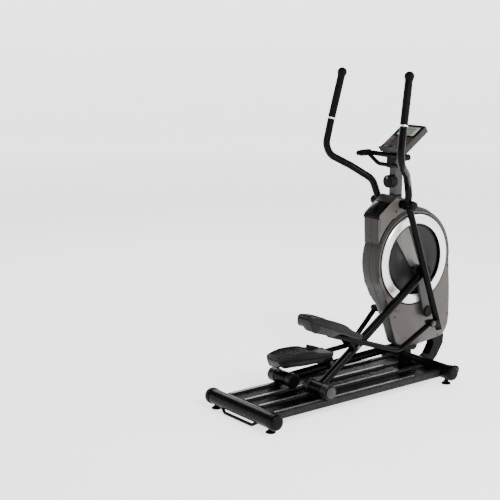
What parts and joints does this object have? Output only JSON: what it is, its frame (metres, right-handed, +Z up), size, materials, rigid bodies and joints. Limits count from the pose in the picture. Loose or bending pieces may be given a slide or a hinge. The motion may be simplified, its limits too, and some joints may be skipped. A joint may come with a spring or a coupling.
{
  "type": "elliptical trainer",
  "caption": "Front-drive elliptical trainer: foot plates on roller arms that run on floor rails, swinging handlebars, shrouded flywheel, fixed pulse bar and tilted console.",
  "frame": {"origin": "on the floor, midway along the machine and on its centre plane", "axes": "+X to the front, where the flywheel housing is; +Y to the user's left; +Z up"},
  "size_m": [1.3998, 0.576, 1.6528],
  "materials": {
    "black_paint": "satin black powder coat",
    "dark_grey_paint": "dark grey metallic paint",
    "bright_steel": "bright drawn steel",
    "black_plastic": "fine moulded texture",
    "roller_plastic": "smooth nylon",
    "warm_grey_plastic": "warm grey metallic satin",
    "silver_ring": "circular brushed",
    "disc_plastic": "fine moulded texture",
    "cap_plastic": "leather-grained moulding",
    "grip_foam": "closed-cell foam",
    "plate_plastic": "satin moulded",
    "tread_rubber": "ribbed rubber",
    "console_plastic": "satin moulded",
    "screen_glass": "clear window over a grey-green display",
    "button_rubber": "soft rubber",
    "cast_iron": "machined rim"
  },
  "bodies": {
    "base": {"rear_stabilizer": "black_paint", "front_stabilizer": "black_paint", "stabilizer_end_caps": "black_plastic", "levelling_feet": "black_plastic", "lift_handle": "black_paint", "rail_beams": "dark_grey_paint", "roller_tracks": "bright_steel", "cross_members": "black_paint", "upright_frame": "black_paint", "front_leg": "black_paint", "crank_bearings": "bright_steel", "drive_belt": "tread_rubber", "flywheel_axle": "bright_steel", "magnet_brake": "black_paint", "idler_bracket": "black_paint", "housing_left": "warm_grey_plastic", "housing_right": "warm_grey_plastic", "ring_trims": "silver_ring", "disc_covers": "disc_plastic", "trim_wedges": "warm_grey_plastic", "top_cap": "cap_plastic", "housing_screws": "black_plastic", "swing_axle": "black_paint", "console_mast": "dark_grey_paint", "pulse_handlebar": "black_paint", "pulse_grips": "grip_foam", "console_body": "console_plastic", "console_screen": "screen_glass"},
    "crank": {"crank_axle": "bright_steel", "crank_arm_right": "dark_grey_paint", "crank_arm_left": "dark_grey_paint", "crank_caps": "black_plastic", "crank_pulley": "black_plastic"},
    "flywheel": {"flywheel": "cast_iron"},
    "idler": {"idler_pulley": "black_plastic"},
    "knob": {"resistance_knob": "disc_plastic"},
    "button_1": {"console_button_1": "button_rubber"},
    "button_2": {"console_button_2": "button_rubber"},
    "button_3": {"console_button_3": "button_rubber"},
    "button_4": {"console_button_4": "button_rubber"},
    "swing_right": {"swing_arm_right": "black_paint", "handlebar_right": "black_paint", "hand_grip_right": "grip_foam"},
    "pedal_right": {"pedal_frame_right": "black_paint", "foot_plate_right": "plate_plastic", "foot_mat_right": "tread_rubber"},
    "carriage_right": {"roller_axle_right": "black_plastic"},
    "wheels_right": {"roller_wheels_right": "roller_plastic"},
    "arm_right": {"roller_arm_right": "black_paint"},
    "transport_right": {"transport_wheel_right": "black_plastic"},
    "swing_left": {"swing_arm_left": "black_paint", "handlebar_left": "black_paint", "hand_grip_left": "grip_foam"},
    "pedal_left": {"pedal_frame_left": "black_paint", "foot_plate_left": "plate_plastic", "foot_mat_left": "tread_rubber"},
    "carriage_left": {"roller_axle_left": "black_plastic"},
    "wheels_left": {"roller_wheels_left": "roller_plastic"},
    "arm_left": {"roller_arm_left": "black_paint"},
    "transport_left": {"transport_wheel_left": "black_plastic"}
  },
  "joints": [
    {"name": "right_swing", "type": "hinge", "parent": "base", "child": "swing_right", "pos_m": [0.319, 0, 0.965], "axis": [0, -1, 0], "range_deg": [-16, 16]},
    {"name": "left_swing", "type": "hinge", "parent": "base", "child": "swing_left", "pos_m": [0.319, 0, 0.965], "axis": [0, -1, 0], "range_deg": [-16, 16]},
    {"name": "right_pedal", "type": "hinge", "parent": "swing_right", "child": "pedal_right", "pos_m": [0.40562, 0, 0.3531], "axis": [0, -1, 0], "range_deg": [-14, 14]},
    {"name": "right_carriage", "type": "slide", "parent": "base", "child": "carriage_right", "axis": [1, 0, 0], "range_m": [-0.18, 0.18]},
    {"name": "right_wheels", "type": "hinge", "parent": "carriage_right", "child": "wheels_right", "pos_m": [-0.28379, 0, 0.1151], "axis": [0, 1, 0], "range_deg": [-290, 290]},
    {"name": "right_arm", "type": "hinge", "parent": "carriage_right", "child": "arm_right", "pos_m": [-0.28379, 0, 0.1151], "axis": [0, -1, 0], "range_deg": [-1.5, 1.5]},
    {"name": "left_pedal", "type": "hinge", "parent": "swing_left", "child": "pedal_left", "pos_m": [0.40145, 0, 0.35252], "axis": [0, -1, 0], "range_deg": [-14, 14]},
    {"name": "left_carriage", "type": "slide", "parent": "base", "child": "carriage_left", "axis": [1, 0, 0], "range_m": [-0.18, 0.18]},
    {"name": "left_wheels", "type": "hinge", "parent": "carriage_left", "child": "wheels_left", "pos_m": [-0.30668, 0, 0.1151], "axis": [0, 1, 0], "range_deg": [-290, 290]},
    {"name": "left_arm", "type": "hinge", "parent": "carriage_left", "child": "arm_left", "pos_m": [-0.30668, 0, 0.1151], "axis": [0, -1, 0], "range_deg": [-1.5, 1.5]},
    {"name": "crank_spin", "type": "hinge", "parent": "base", "child": "crank", "pos_m": [0.502, 0, 0.377], "axis": [0, 1, 0], "continuous": true},
    {"name": "flywheel_spin", "type": "hinge", "parent": "base", "child": "flywheel", "pos_m": [0.421, 0, 0.665], "axis": [0, 1, 0], "continuous": true},
    {"name": "idler_spin", "type": "hinge", "parent": "base", "child": "idler", "pos_m": [0.512, 0, 0.56], "axis": [0, 1, 0], "continuous": true},
    {"name": "resistance_turn", "type": "hinge", "parent": "base", "child": "knob", "pos_m": [0.29, 0, 1.08], "axis": [-1, 0, 0], "range_deg": [-150, 150]},
    {"name": "button_1_press", "type": "slide", "parent": "base", "child": "button_1", "axis": [0.5664, 0, -0.8241], "range_m": [0, 0.0015], "stiffness_N_per_m": 400, "springref_m": -0.0005},
    {"name": "button_2_press", "type": "slide", "parent": "base", "child": "button_2", "axis": [0.5664, 0, -0.8241], "range_m": [0, 0.0015], "stiffness_N_per_m": 400, "springref_m": -0.0005},
    {"name": "button_3_press", "type": "slide", "parent": "base", "child": "button_3", "axis": [0.5664, 0, -0.8241], "range_m": [0, 0.0015], "stiffness_N_per_m": 400, "springref_m": -0.0005},
    {"name": "button_4_press", "type": "slide", "parent": "base", "child": "button_4", "axis": [0.5664, 0, -0.8241], "range_m": [0, 0.0015], "stiffness_N_per_m": 400, "springref_m": -0.0005},
    {"name": "right_transport_spin", "type": "hinge", "parent": "base", "child": "transport_right", "pos_m": [0.562, -0.242, 0.08], "axis": [0, 1, 0], "continuous": true},
    {"name": "left_transport_spin", "type": "hinge", "parent": "base", "child": "transport_left", "pos_m": [0.562, 0.242, 0.08], "axis": [0, 1, 0], "continuous": true}
  ],
  "couplings": [
    {"joint": "left_swing", "follows": "right_swing", "ratio": -1},
    {"joint": "right_pedal", "follows": "right_swing", "ratio": -0.84023},
    {"joint": "right_carriage", "follows": "right_swing", "m_per_rad": 0.62234},
    {"joint": "right_wheels", "follows": "right_swing", "ratio": 16.958},
    {"joint": "right_arm", "follows": "right_swing", "ratio": 0.05},
    {"joint": "left_pedal", "follows": "right_swing", "ratio": 0.83147},
    {"joint": "left_carriage", "follows": "right_swing", "m_per_rad": -0.64021},
    {"joint": "left_wheels", "follows": "right_swing", "ratio": -17.444},
    {"joint": "left_arm", "follows": "right_swing", "ratio": -0.03},
    {"joint": "flywheel_spin", "follows": "crank_spin", "ratio": 5.3846},
    {"joint": "idler_spin", "follows": "crank_spin", "ratio": 7.3684}
  ]
}
